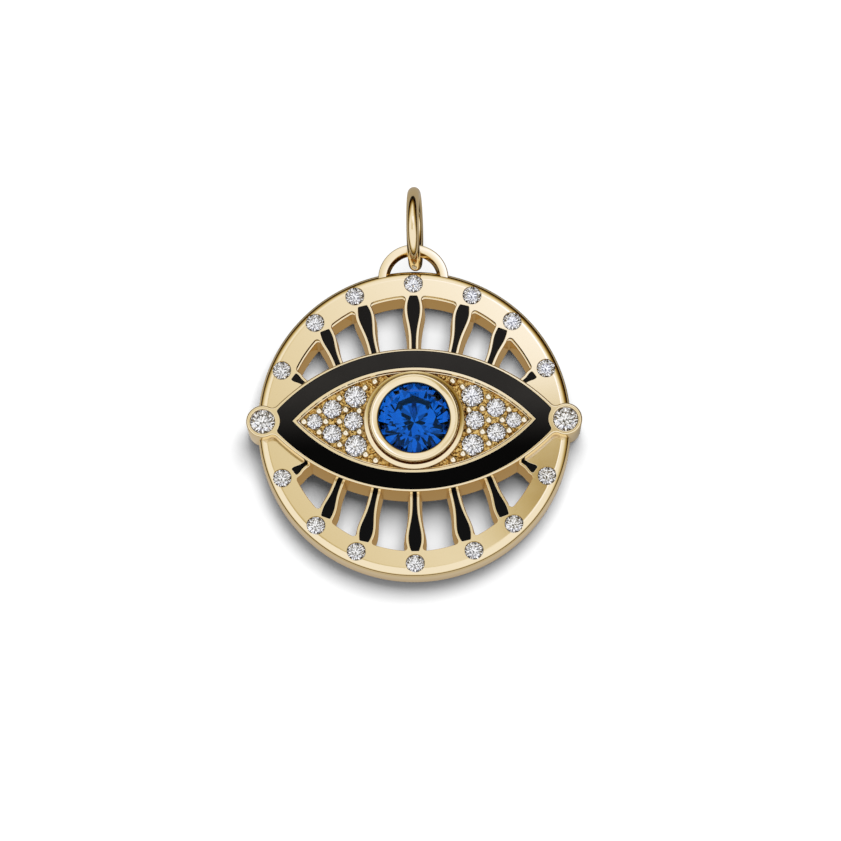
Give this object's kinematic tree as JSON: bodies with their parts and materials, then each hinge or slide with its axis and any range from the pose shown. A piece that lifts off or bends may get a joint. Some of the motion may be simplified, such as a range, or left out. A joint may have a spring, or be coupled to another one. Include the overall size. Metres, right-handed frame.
{
  "type": "evil eye pendant",
  "caption": "Round pierced pendant with an almond eye in black enamel, a bezel set blue stone, pave and flush set clear stones, enamelled lashes, a bail and a jump ring.",
  "frame": {"origin": "middle of the disc's flat back, on the surface that the pendant lies on", "axes": "+Z out of the pendant's face, +Y from the eye towards the bail and jump ring, +X along the eye to the viewer's right"},
  "size_m": [0.0214, 0.0253, 0.0054],
  "materials": {
    "gold": "polished pale yellow gold",
    "enamel": "glossy black vitreous enamel",
    "sapphire": "faceted royal blue sapphire",
    "diamond": "faceted colourless diamond"
  },
  "bodies": {
    "root": {"medallion": "gold", "jump_ring": "gold", "eye_enamel": "enamel", "sapphire": "sapphire", "lash_enamel_top_1": "enamel", "lash_enamel_top_2": "enamel", "lash_enamel_top_3": "enamel", "lash_enamel_top_4": "enamel", "lash_enamel_top_5": "enamel", "lash_enamel_top_6": "enamel", "lash_enamel_top_7": "enamel", "lash_enamel_bottom_1": "enamel", "lash_enamel_bottom_2": "enamel", "lash_enamel_bottom_3": "enamel", "lash_enamel_bottom_4": "enamel", "lash_enamel_bottom_5": "enamel", "lash_enamel_bottom_6": "enamel", "lash_enamel_bottom_7": "enamel", "rim_diamond_1": "diamond", "rim_diamond_2": "diamond", "rim_diamond_3": "diamond", "rim_diamond_4": "diamond", "rim_diamond_5": "diamond", "rim_diamond_6": "diamond", "rim_diamond_7": "diamond", "rim_diamond_8": "diamond", "rim_diamond_9": "diamond", "rim_diamond_10": "diamond", "rim_diamond_11": "diamond", "rim_diamond_12": "diamond", "rim_diamond_13": "diamond", "rim_diamond_14": "diamond", "side_diamond_left": "diamond", "side_diamond_right": "diamond", "pave_diamond_left_1": "diamond", "pave_diamond_left_2": "diamond", "pave_diamond_left_3": "diamond", "pave_diamond_left_4": "diamond", "pave_diamond_left_5": "diamond", "pave_diamond_left_6": "diamond", "pave_diamond_right_1": "diamond", "pave_diamond_right_2": "diamond", "pave_diamond_right_3": "diamond", "pave_diamond_right_4": "diamond", "pave_diamond_right_5": "diamond", "pave_diamond_right_6": "diamond"}
  },
  "joints": []
}
